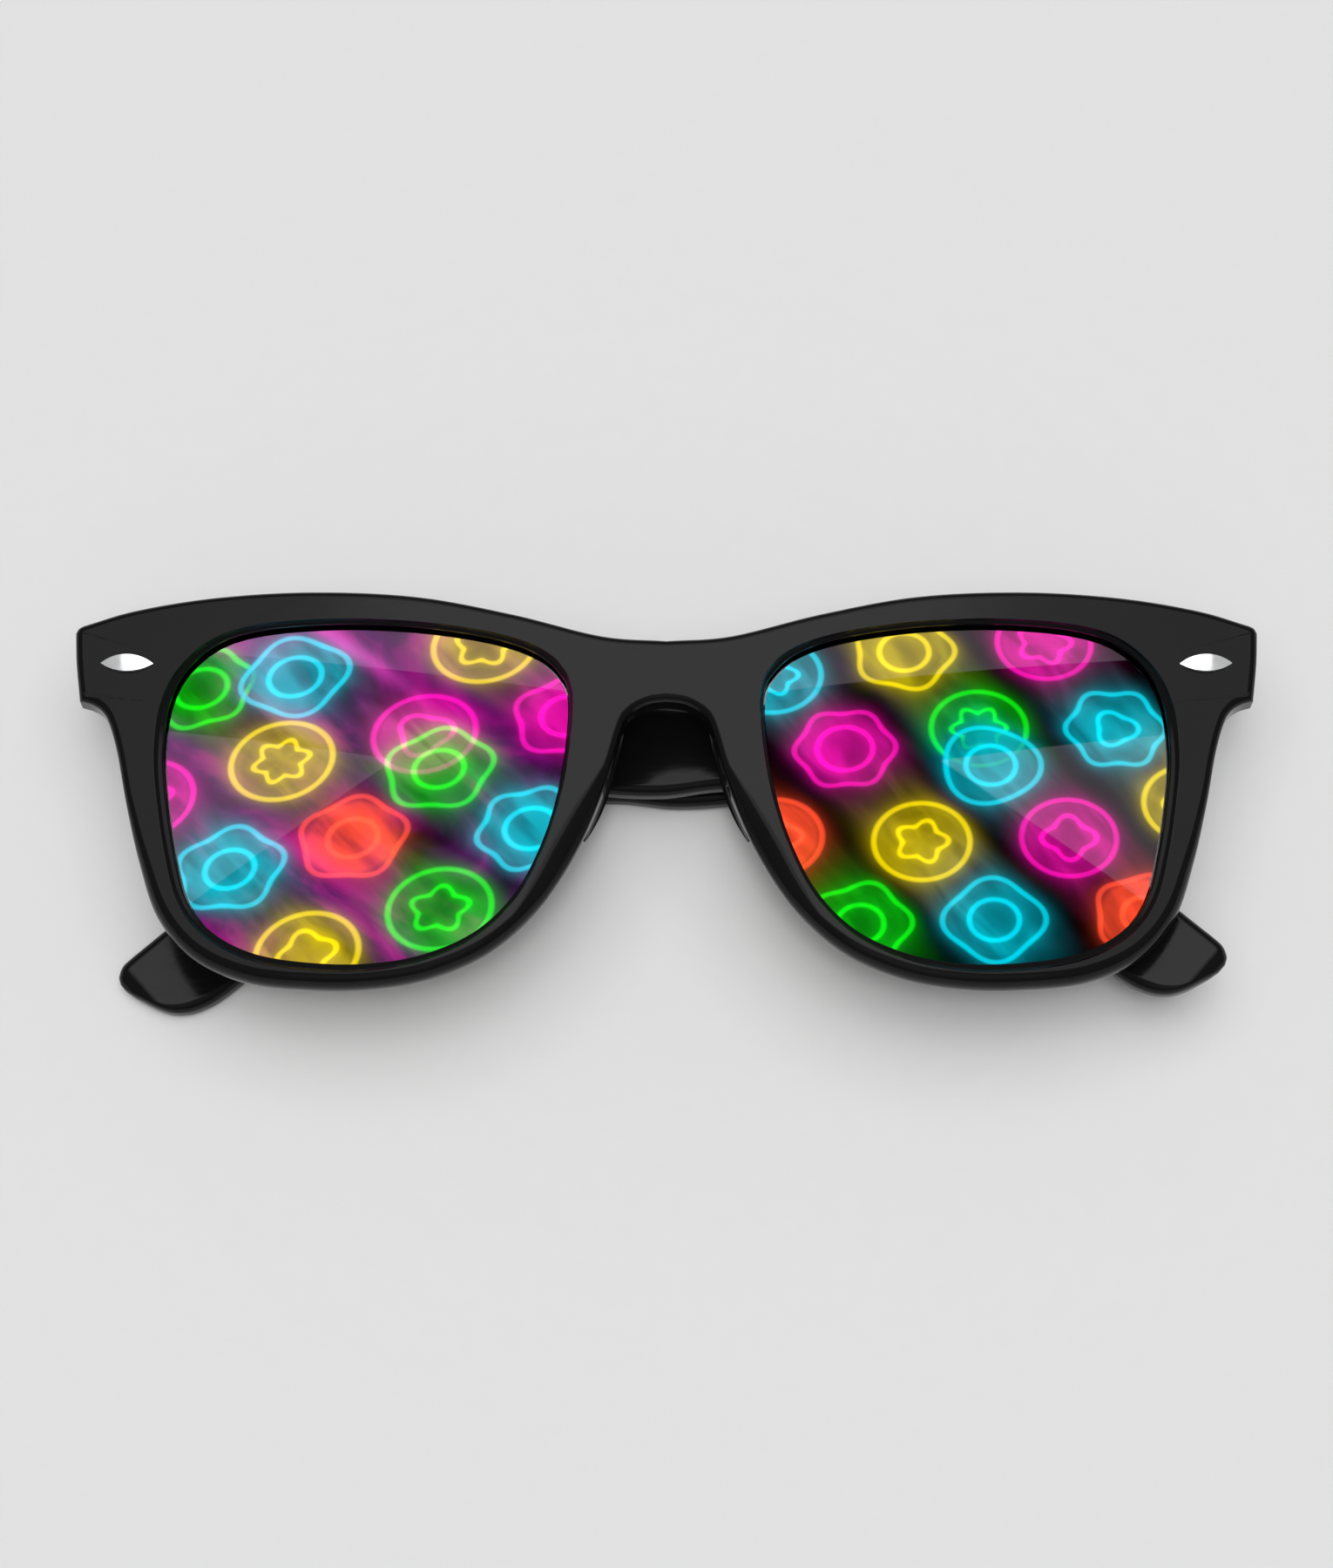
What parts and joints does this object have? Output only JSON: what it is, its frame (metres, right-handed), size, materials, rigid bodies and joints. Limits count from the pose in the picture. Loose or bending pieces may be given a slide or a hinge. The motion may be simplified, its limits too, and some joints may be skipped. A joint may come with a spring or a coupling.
{
  "type": "diffraction glasses",
  "caption": "Folding glasses with a black wrapped front, curved windows backed by diffraction film, and bent temples on screwed barrel hinges.",
  "frame": {"origin": "middle of the box around the folded glasses, on the surface they lie on", "axes": "+X to the wearer's left eye side seen from the front as picture right, +Y to the brow, +Z out of the windows' outer faces"},
  "size_m": [0.1474, 0.0507, 0.0235],
  "materials": {
    "black_plastic": "polished, edges tumbled",
    "window_plastic": "clear, lightly tinted",
    "diffraction_film": "thin embossed film",
    "polished_steel": "polished",
    "hinge_steel": "plain"
  },
  "bodies": {
    "front": {"front_frame": "black_plastic", "nose_pad_left": "black_plastic", "nose_pad_right": "black_plastic", "lens_left": "window_plastic", "lens_right": "window_plastic", "diffraction_film_left": "diffraction_film", "diffraction_film_right": "diffraction_film", "rivet_plaque_left": "polished_steel", "rivet_plaque_right": "polished_steel", "front_hinge_leaf_left": "hinge_steel", "front_hinge_leaf_right": "hinge_steel", "hinge_screw_left": "polished_steel", "hinge_screw_right": "polished_steel"},
    "temple_left_body": {"temple_left": "black_plastic", "temple_hinge_leaf_left": "hinge_steel", "temple_rivet_front_left": "polished_steel", "temple_rivet_rear_left": "polished_steel"},
    "temple_right_body": {"temple_right": "black_plastic", "temple_hinge_leaf_right": "hinge_steel", "temple_rivet_front_right": "polished_steel", "temple_rivet_rear_right": "polished_steel"}
  },
  "joints": [
    {"name": "hinge_left", "type": "hinge", "parent": "front", "child": "temple_left_body", "pos_m": [-0.0672, 0.01695, 0.01187], "axis": [0.108, 0.9942, 0], "range_deg": [0, 90]},
    {"name": "hinge_right", "type": "hinge", "parent": "front", "child": "temple_right_body", "pos_m": [0.0672, 0.01695, 0.01187], "axis": [0.108, -0.9942, 0], "range_deg": [0, 85.7]}
  ]
}
